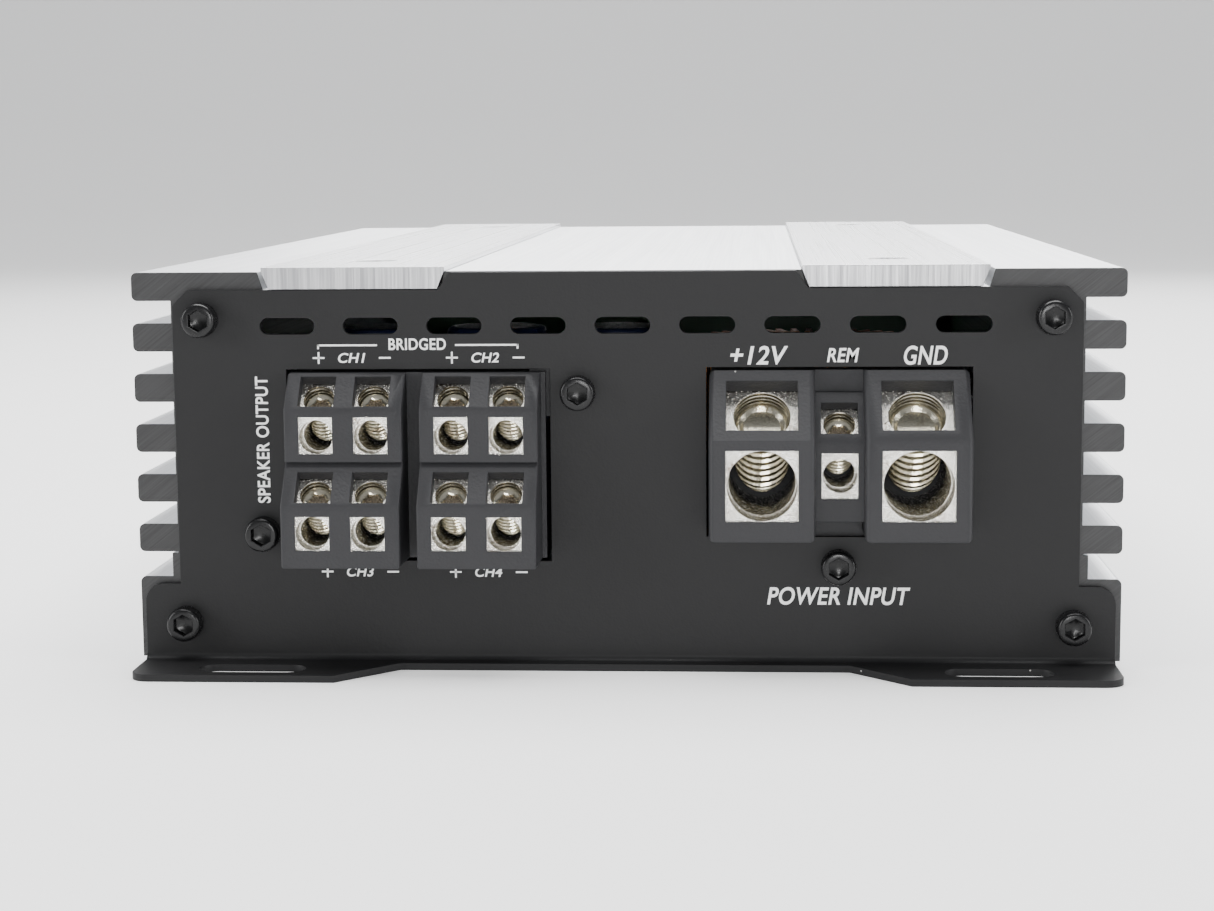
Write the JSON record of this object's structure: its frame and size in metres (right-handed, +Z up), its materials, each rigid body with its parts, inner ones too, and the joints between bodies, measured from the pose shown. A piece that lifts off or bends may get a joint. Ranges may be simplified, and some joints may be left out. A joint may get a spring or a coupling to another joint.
{
  "type": "car amplifier",
  "caption": "Flat car audio amplifier: finned aluminium body with trim bars, steel end panels with slotted tabs, set screw speaker and power terminals.",
  "frame": {"origin": "centre of the footprint, on the surface that the amplifier is screwed to", "axes": "+Z up from the mounting surface, +Y along the heatsink from the terminal end to the input end, +X right as seen from the terminal end"},
  "size_m": [0.16, 0.247, 0.0655],
  "materials": {
    "anodised_aluminium": "silver satin anodised long faces, black sprayed end faces",
    "black_powder_coat": "fine satin black powder coat",
    "black_oxide_steel": "semi-gloss black oxide",
    "bright_aluminium": "bright brushed",
    "zinc_plated_steel": "bright zinc plate",
    "charcoal_plastic": "finely textured",
    "black_plastic": "satin",
    "nickel_plated_brass": "bright nickel plate",
    "nickel_plated_steel": "bright nickel plate",
    "green_board": "solder mask over glass fibre",
    "ferrite": "matt",
    "copper_wire": "enamelled copper",
    "capacitor_sleeve": "shrink sleeve with bare aluminium tops",
    "black_epoxy": "moulded",
    "grey_pad": "soft",
    "plain_aluminium": "mill finish",
    "gold_plated_brass": "gold flash",
    "blue_plastic": "moulded",
    "green_lens": "tinted lens",
    "red_lens": "tinted lens"
  },
  "bodies": {
    "chassis": {"heatsink": "anodised_aluminium", "bottom_cover": "black_powder_coat", "bottom_cover_screws": "black_oxide_steel", "trim_bar_left": "bright_aluminium", "trim_bar_right": "bright_aluminium", "trim_bar_screws": "zinc_plated_steel", "front_panel": "black_powder_coat", "rear_panel": "black_powder_coat", "front_panel_screws": "black_oxide_steel", "rear_panel_screws": "black_oxide_steel", "speaker_housing": "charcoal_plastic", "speaker_clamps": "nickel_plated_brass", "speaker_block_screws": "black_oxide_steel", "power_housing": "charcoal_plastic", "power_clamp_positive": "nickel_plated_brass", "power_clamp_ground": "nickel_plated_brass", "remote_clamp": "nickel_plated_brass", "power_block_screw": "black_oxide_steel", "main_board": "green_board", "control_board": "green_board", "transformer_core": "ferrite", "transformer_winding": "copper_wire", "choke_core": "ferrite", "choke_winding": "copper_wire", "filter_capacitors": "capacitor_sleeve", "output_transistors": "black_epoxy", "thermal_pads": "grey_pad", "transistor_clamp_bars": "plain_aluminium", "transistor_clamp_screws": "zinc_plated_steel", "rca_housing": "black_plastic", "rca_shells": "nickel_plated_brass", "rca_contacts": "gold_plated_brass", "potentiometer_bodies": "blue_plastic", "switch_bodies": "zinc_plated_steel", "power_lamp": "green_lens", "protect_lamp": "red_lens"},
    "speaker_set_screw_1": {"speaker_set_screw_1": "nickel_plated_steel"},
    "speaker_set_screw_2": {"speaker_set_screw_2": "nickel_plated_steel"},
    "speaker_set_screw_3": {"speaker_set_screw_3": "nickel_plated_steel"},
    "speaker_set_screw_4": {"speaker_set_screw_4": "nickel_plated_steel"},
    "speaker_set_screw_5": {"speaker_set_screw_5": "nickel_plated_steel"},
    "speaker_set_screw_6": {"speaker_set_screw_6": "nickel_plated_steel"},
    "speaker_set_screw_7": {"speaker_set_screw_7": "nickel_plated_steel"},
    "speaker_set_screw_8": {"speaker_set_screw_8": "nickel_plated_steel"},
    "power_set_screw_positive": {"power_set_screw_positive": "nickel_plated_steel"},
    "power_set_screw_ground": {"power_set_screw_ground": "nickel_plated_steel"},
    "remote_set_screw": {"remote_set_screw": "nickel_plated_steel"},
    "level_knob_1": {"level_knob_1": "black_plastic"},
    "high_pass_knob_1": {"high_pass_knob_1": "black_plastic"},
    "low_pass_knob_1": {"low_pass_knob_1": "black_plastic"},
    "level_knob_2": {"level_knob_2": "black_plastic"},
    "high_pass_knob_2": {"high_pass_knob_2": "black_plastic"},
    "low_pass_knob_2": {"low_pass_knob_2": "black_plastic"},
    "filter_switch_1": {"filter_switch_1": "black_plastic"},
    "filter_switch_2": {"filter_switch_2": "black_plastic"}
  },
  "joints": [
    {"name": "speaker_set_screw_1_travel", "type": "slide", "parent": "chassis", "child": "speaker_set_screw_1", "axis": [0, 0.766, -0.6428], "range_m": [-0.0072, 0.0006]},
    {"name": "speaker_set_screw_2_travel", "type": "slide", "parent": "chassis", "child": "speaker_set_screw_2", "axis": [0, 0.766, -0.6428], "range_m": [-0.0072, 0.0006]},
    {"name": "speaker_set_screw_3_travel", "type": "slide", "parent": "chassis", "child": "speaker_set_screw_3", "axis": [0, 0.766, -0.6428], "range_m": [-0.0072, 0.0006]},
    {"name": "speaker_set_screw_4_travel", "type": "slide", "parent": "chassis", "child": "speaker_set_screw_4", "axis": [0, 0.766, -0.6428], "range_m": [-0.0072, 0.0006]},
    {"name": "speaker_set_screw_5_travel", "type": "slide", "parent": "chassis", "child": "speaker_set_screw_5", "axis": [0, 0.766, -0.6428], "range_m": [-0.0072, 0.0006]},
    {"name": "speaker_set_screw_6_travel", "type": "slide", "parent": "chassis", "child": "speaker_set_screw_6", "axis": [0, 0.766, -0.6428], "range_m": [-0.0072, 0.0006]},
    {"name": "speaker_set_screw_7_travel", "type": "slide", "parent": "chassis", "child": "speaker_set_screw_7", "axis": [0, 0.766, -0.6428], "range_m": [-0.0072, 0.0006]},
    {"name": "speaker_set_screw_8_travel", "type": "slide", "parent": "chassis", "child": "speaker_set_screw_8", "axis": [0, 0.766, -0.6428], "range_m": [-0.0072, 0.0006]},
    {"name": "power_set_screw_positive_travel", "type": "slide", "parent": "chassis", "child": "power_set_screw_positive", "axis": [0, 0.766, -0.6428], "range_m": [-0.0148, 0.0018]},
    {"name": "power_set_screw_ground_travel", "type": "slide", "parent": "chassis", "child": "power_set_screw_ground", "axis": [0, 0.766, -0.6428], "range_m": [-0.0148, 0.0018]},
    {"name": "remote_set_screw_travel", "type": "slide", "parent": "chassis", "child": "remote_set_screw", "axis": [0, 0.766, -0.6428], "range_m": [-0.0065, 0.001]},
    {"name": "level_knob_1_turn", "type": "hinge", "parent": "chassis", "child": "level_knob_1", "pos_m": [-0.012, 0.1112, 0.038], "axis": [0, 1, 0], "range_deg": [-150, 150]},
    {"name": "high_pass_knob_1_turn", "type": "hinge", "parent": "chassis", "child": "high_pass_knob_1", "pos_m": [0.004, 0.1112, 0.038], "axis": [0, 1, 0], "range_deg": [-150, 150]},
    {"name": "low_pass_knob_1_turn", "type": "hinge", "parent": "chassis", "child": "low_pass_knob_1", "pos_m": [0.02, 0.1112, 0.038], "axis": [0, 1, 0], "range_deg": [-150, 150]},
    {"name": "level_knob_2_turn", "type": "hinge", "parent": "chassis", "child": "level_knob_2", "pos_m": [-0.012, 0.1112, 0.022], "axis": [0, 1, 0], "range_deg": [-150, 150]},
    {"name": "high_pass_knob_2_turn", "type": "hinge", "parent": "chassis", "child": "high_pass_knob_2", "pos_m": [0.004, 0.1112, 0.022], "axis": [0, 1, 0], "range_deg": [-150, 150]},
    {"name": "low_pass_knob_2_turn", "type": "hinge", "parent": "chassis", "child": "low_pass_knob_2", "pos_m": [0.02, 0.1112, 0.022], "axis": [0, 1, 0], "range_deg": [-150, 150]},
    {"name": "filter_switch_1_travel", "type": "slide", "parent": "chassis", "child": "filter_switch_1", "axis": [1, 0, 0], "range_m": [-0.0025, 0.0025]},
    {"name": "filter_switch_2_travel", "type": "slide", "parent": "chassis", "child": "filter_switch_2", "axis": [1, 0, 0], "range_m": [-0.0025, 0.0025]}
  ]
}
